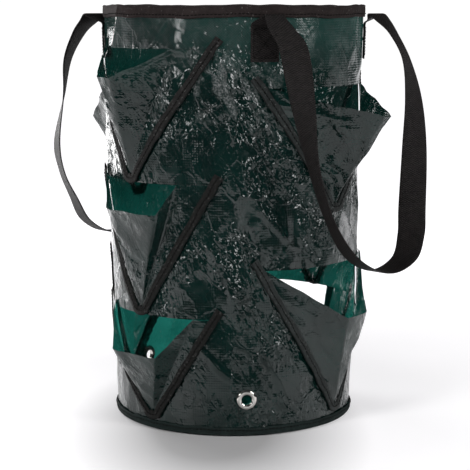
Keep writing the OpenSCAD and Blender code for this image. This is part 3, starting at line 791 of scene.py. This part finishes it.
def pouch_grid(p, seed, lobe):
    """Points of a pouch, with their places on the sheet and as shares across and up."""
    keys = sorted({-1.0, float(p.end0), p.flat0, p.flat1, float(p.end1), 1.0})
    s = np.concatenate([np.linspace(a, b, max(3, round((b - a) * 32)), endpoint=False)
                        for a, b in zip(keys, keys[1:])] + [[1.0]])
    tt, ss = np.meshgrid(np.linspace(0, 1, 84) ** 0.95, s, indexing="ij")

    def put(share, out):
        share = np.broadcast_to(np.asarray(share, float), tt.shape)
        lifted = out * lift_of(p, tt)
        az = v_mid(p, tt) + share * (v_half(p, tt) - INSET)
        z = v_z(p, tt) - p.drop * lifted
        settled = dent(az, np.clip(z, 4, 448)) * (1 - np.clip(lifted * 3, 0, 1))
        return on_wall(az, z, POUCH_MID + p.reach * lifted + settled)

    # The flanks are flat between the wall and the flat front
    left = (ss - p.end0) / (p.flat0 - p.end0)
    right = (p.end1 - ss) / (p.end1 - p.flat1)
    out = np.clip(np.minimum(left, right), 0, 1)
    core = np.where((out >= 1)[..., None], put(ss, 1), put(ss, 0))
    for share, a, b, flank in ((left, p.end0, p.flat0, (ss > p.end0) & (ss < p.flat0)),
                               (right, p.end1, p.flat1, (ss > p.flat1) & (ss < p.end1))):
        chord = put(a, 0) + (put(b, 1) - put(a, 0)) * share[..., None]
        core = np.where(flank[..., None], chord, core)
    # Wrinkles, long along one slant
    across, z = ss * v_half(p, tt) / DEG, core[..., 2]
    wx = across + 6 * swirl(across / 22, z / 24, seed + 1)
    wz = z + 6 * swirl(across / 24, z / 22, seed + 2)
    u, v = wx * 0.8 + wz * 0.6, wz * 0.8 - wx * 0.6
    w = 1.7 * facets(u / 22, v / 60, seed + 3)
    w += 1.2 * facets(u / 8, v / 34, seed + 4) * (0.3 + 0.7 * ease(-ss, 0.0, 0.5))
    w += 0.3 * facets(wx / 6, wz / 7, seed + 5)
    normal = np.cross(np.gradient(core, axis=1), np.gradient(core, axis=0))
    normal /= np.maximum(np.linalg.norm(normal, axis=2), 1e-9)[..., None]
    room = np.clip(out * lift_of(p, tt) * p.reach / 7, 0, 1) * np.clip(p.reach / 40, 0.55, 1)
    core = core + normal * (w * lobe[3] * room)[..., None]
    # The free edge runs unevenly
    uneven = swirl(across / 13, np.zeros_like(across), seed + 6)
    core[..., 2] += 1.2 * uneven * ease(tt, 0.7, 1) * room
    stands = ease(1 - np.abs(ss - lobe[0]) / lobe[1], 0, 1) * ease(tt, 0.5, 1)
    core[..., 2] += stands * (lobe[2] + 0.3 * lobe[2] * facets(across / 5, z / 14, seed + 7))
    return core, across, z, ss, tt


def pouch(name, p, seed):
    """A pouch with its flaps under the tape."""
    core, across, z, ss, tt = pouch_grid(p, seed, LOBES.get(name, (0, 1, 0, 1)))
    flap_az = INSET + 6 * DEG
    t = tt[:, 0]
    left, right = (on_slack_wall(v_mid(p, t) + k * (v_half(p, t) - INSET + flap_az * 0.8),
                                 v_z(p, t), POUCH_MID)[:, None] for k in (-1, 1))
    full = np.concatenate([left, core, right], 1)
    u = np.concatenate([across[:, :1] - 8, across, across[:, -1:] + 8], 1)
    v = np.concatenate([z[:, :1], z, z[:, -1:]], 1)
    foot_z = p.tip_z - 5
    foot_az = p.tip_az + np.linspace(-1, 1, full.shape[1]) * (TIP_HALF + 3 * DEG)
    full = np.concatenate([on_slack_wall(foot_az, foot_z, POUCH_MID)[None], full], 0)
    u = np.concatenate([u[:1], u], 0)
    v = np.concatenate([np.full((1, full.shape[1]), foot_z), v], 0)
    least, spots = POUCH_SPOTS.get(name, (0.5, []))
    amount = least + zone(ss, tt, spots) + 0.25 * swirl(across / 30, z / 30, seed + 9)
    amount = np.clip(np.pad(amount, ((1, 0), (1, 1)), mode="edge"), 0.05, 1.2)
    # A strip of binding, twisted over, lies on this one's inside
    dark = ((ss > -0.47) & (ss < -0.3) & (name == "back_right_bottom")) * 0.97
    dark = np.pad(dark, ((1, 0), (1, 1)))
    ob = mesh(name + "_cloth", full.reshape(-1, 3), grid_faces(*full.shape[:2]),
              DULL if name == "back_left_top" else POUCH,
              uv=np.stack([u.ravel(), v.ravel()], 1),
              attrs={"crumple": amount.ravel(), "shut": dark.ravel()})
    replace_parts(ob, name + "_pouch")
    # Steps across and up between every sixth row and column of points, which leaves out the small
    # crumples
    coarse = full[::6, ::6] * MM
    right, up = np.diff(coarse, axis=1), np.diff(coarse, axis=0)


# Stitches
def unit(v):
    return v / np.linalg.norm(v)


def sew(name, node, runs, length, space, radius):
    """Small capsules along lines of points with normals."""
    # Rings of a stitch: part of it, shift along it, size and rise
    rings = ((0, 0, 0.35, -0.15), (0, 0.35, 0.9, 0), (1, 0, 1.15, 0.12), (2, -0.35, 0.9, 0),
             (2, 0, 0.35, -0.15))
    sides = 6
    turns = [2 * math.pi * k / sides for k in range(sides)]
    points, faces = [], []
    for line, normal in runs:
        steps = np.linalg.norm(np.diff(line, axis=0), axis=1)
        s = np.concatenate([[0], np.cumsum(steps)])
        n = int(s[-1] / (length + space))
        for k in range(n):
            a, b = (k + 0.15) * s[-1] / n, (k + 0.15) * s[-1] / n + length
            if b > s[-1]:
                continue
            parts = [np.array([np.interp(q, s, line[:, c]) for c in range(3)])
                     for q in (a, (a + b) / 2, b)]
            up = unit(np.array([np.interp((a + b) / 2, s, normal[:, c]) for c in range(3)]))
            ahead = unit(parts[2] - parts[0])
            aside = np.cross(ahead, up)
            first = len(points)
            for part, shift, size, rise in rings:
                centre = parts[part] + ahead * shift + up * rise
                points += [centre + radius * size * (aside * math.cos(turn)
                                                     + up * math.sin(turn) * 0.7)
                           for turn in turns]
            faces += grid_faces(len(rings), sides, round_cols=True, first=first)
            faces.append(tuple(first + k for k in reversed(range(sides))))
            faces.append(tuple(first + 4 * sides + k for k in range(sides)))
    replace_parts(mesh(name, np.array(points), faces, THREAD), node)


def with_normals(line):
    n = line * np.array([1, 1, 0])
    return line, n / np.linalg.norm(n, axis=1)[:, None]


runs = []
for seed, (name, p) in enumerate(POCKETS.items()):
    pouch(name, p, 20 + seed * 11)
    path = v_path(p)
    ob = strip(name + "_tape", lambda beside, off: v_points(p, path, beside, off),
               -SEAM_IN, SEAM_OUT, TAPE_OFF, SEAM_OF.get(name, SEAM))
    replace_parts(ob, name + "_binding")
    runs.append(with_normals(v_points(p, path, 2.4, TAPE_OFF + TAPE_T + 0.25)))
sew("pocket_stitches", "pocket_stitching", runs, length=3.4, space=0.7, radius=0.5)

BORDER = {"length": 3.0, "space": 1.1, "radius": 0.4}
az = np.arange(0, 361, 1.0)
for name, z, rise in (("rim", RIM_Z + 3.4, rim_wave(az)),
                      ("base", BASE_TAPE_H - 2.6, base_wave(az, BASE_TAPE_H - 2.6))):
    line = on_wall(az, z + rise, THREAD_OFF + dent(az, z))
    sew(name + "_stitches", name + "_stitching", [with_normals(line)], **BORDER)
runs = []
for k in (-1, 1):
    az = np.full(len(side_z), SEAM_AZ + k * (SIDE_TAPE_W / 2 - 3) * DEG)
    runs.append(with_normals(on_slack_wall(az, side_z, THREAD_OFF)))
sew("side_seam_stitches", "side_seam_stitching", runs, **BORDER)


# Handles
def fold_point(end):
    return on_wall(ENDS[end][1], BAG_H - 10, 14)


def curve(rows, step):
    """A smooth line through rows of numbers, at an even spacing of its first three."""
    v = np.array(rows, float)
    dense = []
    for i in range(len(v) - 1):
        a, b, c, d = v[max(i - 1, 0)], v[i], v[i + 1], v[min(i + 2, len(v) - 1)]
        for t in np.linspace(0, 1, 24, endpoint=False):
            dense.append(0.5 * (2 * b + (c - a) * t + (2 * a - 5 * b + 4 * c - d) * t * t
                                + (3 * b - a - 3 * c + d) * t ** 3))
    dense = np.array(dense + [v[-1]])
    s = np.concatenate([[0], np.cumsum(np.linalg.norm(np.diff(dense[:, :3], axis=0), axis=1))])
    at = np.linspace(0, s[-1], int(s[-1] / step))
    return np.stack([np.interp(at, s, dense[:, k]) for k in range(v.shape[1])], 1), at


def handle(name, route, a, b):
    """A strap from one sewn end over its fold, along its route and down to the other."""
    fold_a, fold_b = fold_point(a), fold_point(b)
    mid, half = (fold_a + fold_b) / 2, np.linalg.norm(fold_b - fold_a) / 2
    line = unit(fold_b - fold_a)
    out = np.array([line[1], -line[0], 0])
    out *= 1 if out @ fold_a > 0 else -1
    up = np.array([0, 0, 1.0])

    def sewn(end):
        az = ENDS[end][0]
        tangent = unit(on_wall(az + 1, 440) - on_wall(az - 1, 440))
        wide = tangent if tangent @ line > 0 else -tangent
        low, high = (on_wall(az, z, STRAP_MID) for z in (SEWN_TOP - SEWN_H, SEWN_TOP))
        top = fold_point(end)
        rows = [(low + (high - low) * t, wide) for t in (0, 0.25, 0.5, 0.75, 1)]
        tip = top - (out + up) / math.sqrt(2) * CUT
        for t in (0.3, 0.6, 0.9):
            rows.append((high + up * 2 * t * (1 - t) + (tip - high) * t,
                         unit(wide + (line - wide) * t ** 1.5)))
        return rows + [(top + up * 0.1 - out * 0.2, line)]

    middle = []
    for share, away, down, turn in route[1:-1]:
        r = math.radians(turn)
        middle.append((mid + line * half * share + out * away - up * down,
                       unit(line * math.cos(r) + out * math.sin(r))))
    rows = sewn(a) + middle + sewn(b)[::-1]
    data, at = curve([np.concatenate(row) for row in rows], 1.6)
    path, across = data[:, :3], data[:, 3:]
    along = np.gradient(path, axis=0)
    along /= np.linalg.norm(along, axis=1)[:, None]
    across /= np.linalg.norm(across, axis=1)[:, None]
    face = np.cross(along, across)
    face /= np.linalg.norm(face, axis=1)[:, None]
    section = []
    for u in (-1 + 2 * k / 10 for k in range(11)):
        thin = 0.5 * max(0, abs(u) - 0.9) / 0.1
        section.append((u * (STRAP_W / 2 - 0.35 * (abs(u) == 1)), STRAP_T / 2 * (1 - thin)))
    section += ([(STRAP_W / 2, 0)] + [(u, -h) for u, h in reversed(section)]
                + [(-STRAP_W / 2, 0)])
    points = np.array([path + across * u + face * h for u, h in section])
    uv = np.array([[(u, s) for s in at] for u, h in section]).reshape(-1, 2)
    ob = mesh(name + "_strap", points.reshape(-1, 3), rod_faces(*points.shape[:2]), WEB,
              uv=uv, ride=False)
    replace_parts(ob, a + "_sewn_end", b + "_sewn_end", name + "_loop")
    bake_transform(ob)


for name, route in (("front_handle", FRONT_ROUTE), ("rear_handle", REAR_ROUTE)):
    handle(name, route, name + "_left", name + "_right")

runs = []
for az, _ in ENDS.values():
    wide, tall = STRAP_W / 2 - 3, SEWN_H / 2 - 4
    corners = [(-wide, -tall), (wide, -tall), (wide, tall), (-wide, tall)]
    z = SEWN_TOP - SEWN_H / 2
    centre = on_wall(az, z, STRAP_MID)
    aside = unit(on_wall(az + 1, z) - on_wall(az - 1, z))
    rise = unit(on_wall(az, z + 10, STRAP_MID) - on_wall(az, z - 10, STRAP_MID))
    normal = np.cross(aside, rise)
    # A box with a cross in it
    for pair in [(0, 1), (1, 2), (2, 3), (3, 0), (0, 2), (1, 3)]:
        one, two = (centre + aside * corners[k][0] + rise * corners[k][1]
                    + normal * (STRAP_T / 2 + 0.28) for k in pair)
        line = np.array([one + (two - one) * t for t in np.linspace(0, 1, 8)])
        runs.append((line, np.tile(normal, (8, 1))))
sew("handle_stitches", "handle_stitching", runs, length=2.4, space=0.8, radius=0.36)

# Eyelets and washers keep their solids
for eyelet in EYELETS:
    for node in (eyelet + "_eyelet", eyelet + "_eyelet_washer"):
        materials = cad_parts[node].data.materials
        materials.clear()
        materials.append(METAL)

# Floor: glows bright all round, but for a painted soft shadow in front of the bag
floor = bpy.data.meshes.new("floor")
floor.from_pydata([(-6, -0.74, 0), (6, -0.74, 0), (6, 8, 0), (-6, 8, 0)], [], [(0, 1, 2, 3)])
g = Graph(bpy.data.materials.new("floor"))
where = g.where()
tone = g.ramp(g.noise(where, 3), [(0.3, (0.56, 0.555, 0.56)), (0.7, (0.6, 0.595, 0.6))])
# Painted shadow: an oval in front of the bag where the floor glows less
shade = g.vec("MULTIPLY", g.vec("ADD", where, (0.022, 0.1, 0)), (1 / 0.118, 1 / 0.22, 1))
near = g.remap(g.length(shade), 0.5, 1.45, 0.0, 0.62)
far = g.remap(g.length(where), 0.25, 1.3, 0.0, 0.5)
# Painted shadow: the floor's colour is darker inside the oval
tone = g.mix(g.remap(g.length(shade), 0.4, 1.4, 0.0, 1.0), (0.47, 0.465, 0.47), tone)
floor.materials.append(g.out(g.add(
    "BsdfPrincipled", Base_Color=tone, Roughness=0.55, Emission_Color=(0.97, 0.96, 0.98, 1),
    Emission_Strength=g.math("ADD", near, far))))
ob = bpy.data.objects.new("floor", floor)
scene.collection.objects.link(ob)
ob.location.z = -0.0005

# World: white behind the bag, and for reflections a faint light that is stronger at the back
scene.world = bpy.data.worlds.new("studio")
g = Graph(scene.world)
sky = g.add("SeparateXYZ", Vector=(g.add("TexCoord"), "Generated"))
back = g.add("Background", Color=(0.98, 0.98, 1.0, 1),
             Strength=g.remap((sky, "Y"), 0.95, 1.0, 0.05, 0.6))
white = g.add("Background", Color=(1, 1, 1, 1), Strength=1.05)
g.add("OutputWorld", Surface=g.blend_of((g.add("LightPath"), "Is Camera Ray"), back, white))


# Light
def softbox(name, place, at, size, power):
    lamp = bpy.data.lights.new(name, "AREA")
    lamp.shape = "RECTANGLE"
    lamp.size, lamp.size_y = size
    lamp.energy = power
    ob = bpy.data.objects.new(name, lamp)
    scene.collection.objects.link(ob)
    ob.location = place
    ob.rotation_euler = (Vector(at) - Vector(place)).to_track_quat("-Z", "Y").to_euler()


softbox("left_back_softbox", (-1.0, 1.2, 0.6), (0, 0, 0.25), (0.9, 1.4), 22)
softbox("left_softbox", (-1.1, -1.1, 1.0), (0, 0, 0.25), (0.55, 0.85), 15)
softbox("right_softbox", (1.15, -0.9, 0.9), (0, 0, 0.25), (0.42, 0.75), 10.5)
softbox("top_softbox", (0.1, -1.0, 1.8), (0, 0, 0.2), (0.75, 0.33), 7.5)
scene.view_settings.view_transform = "Standard"
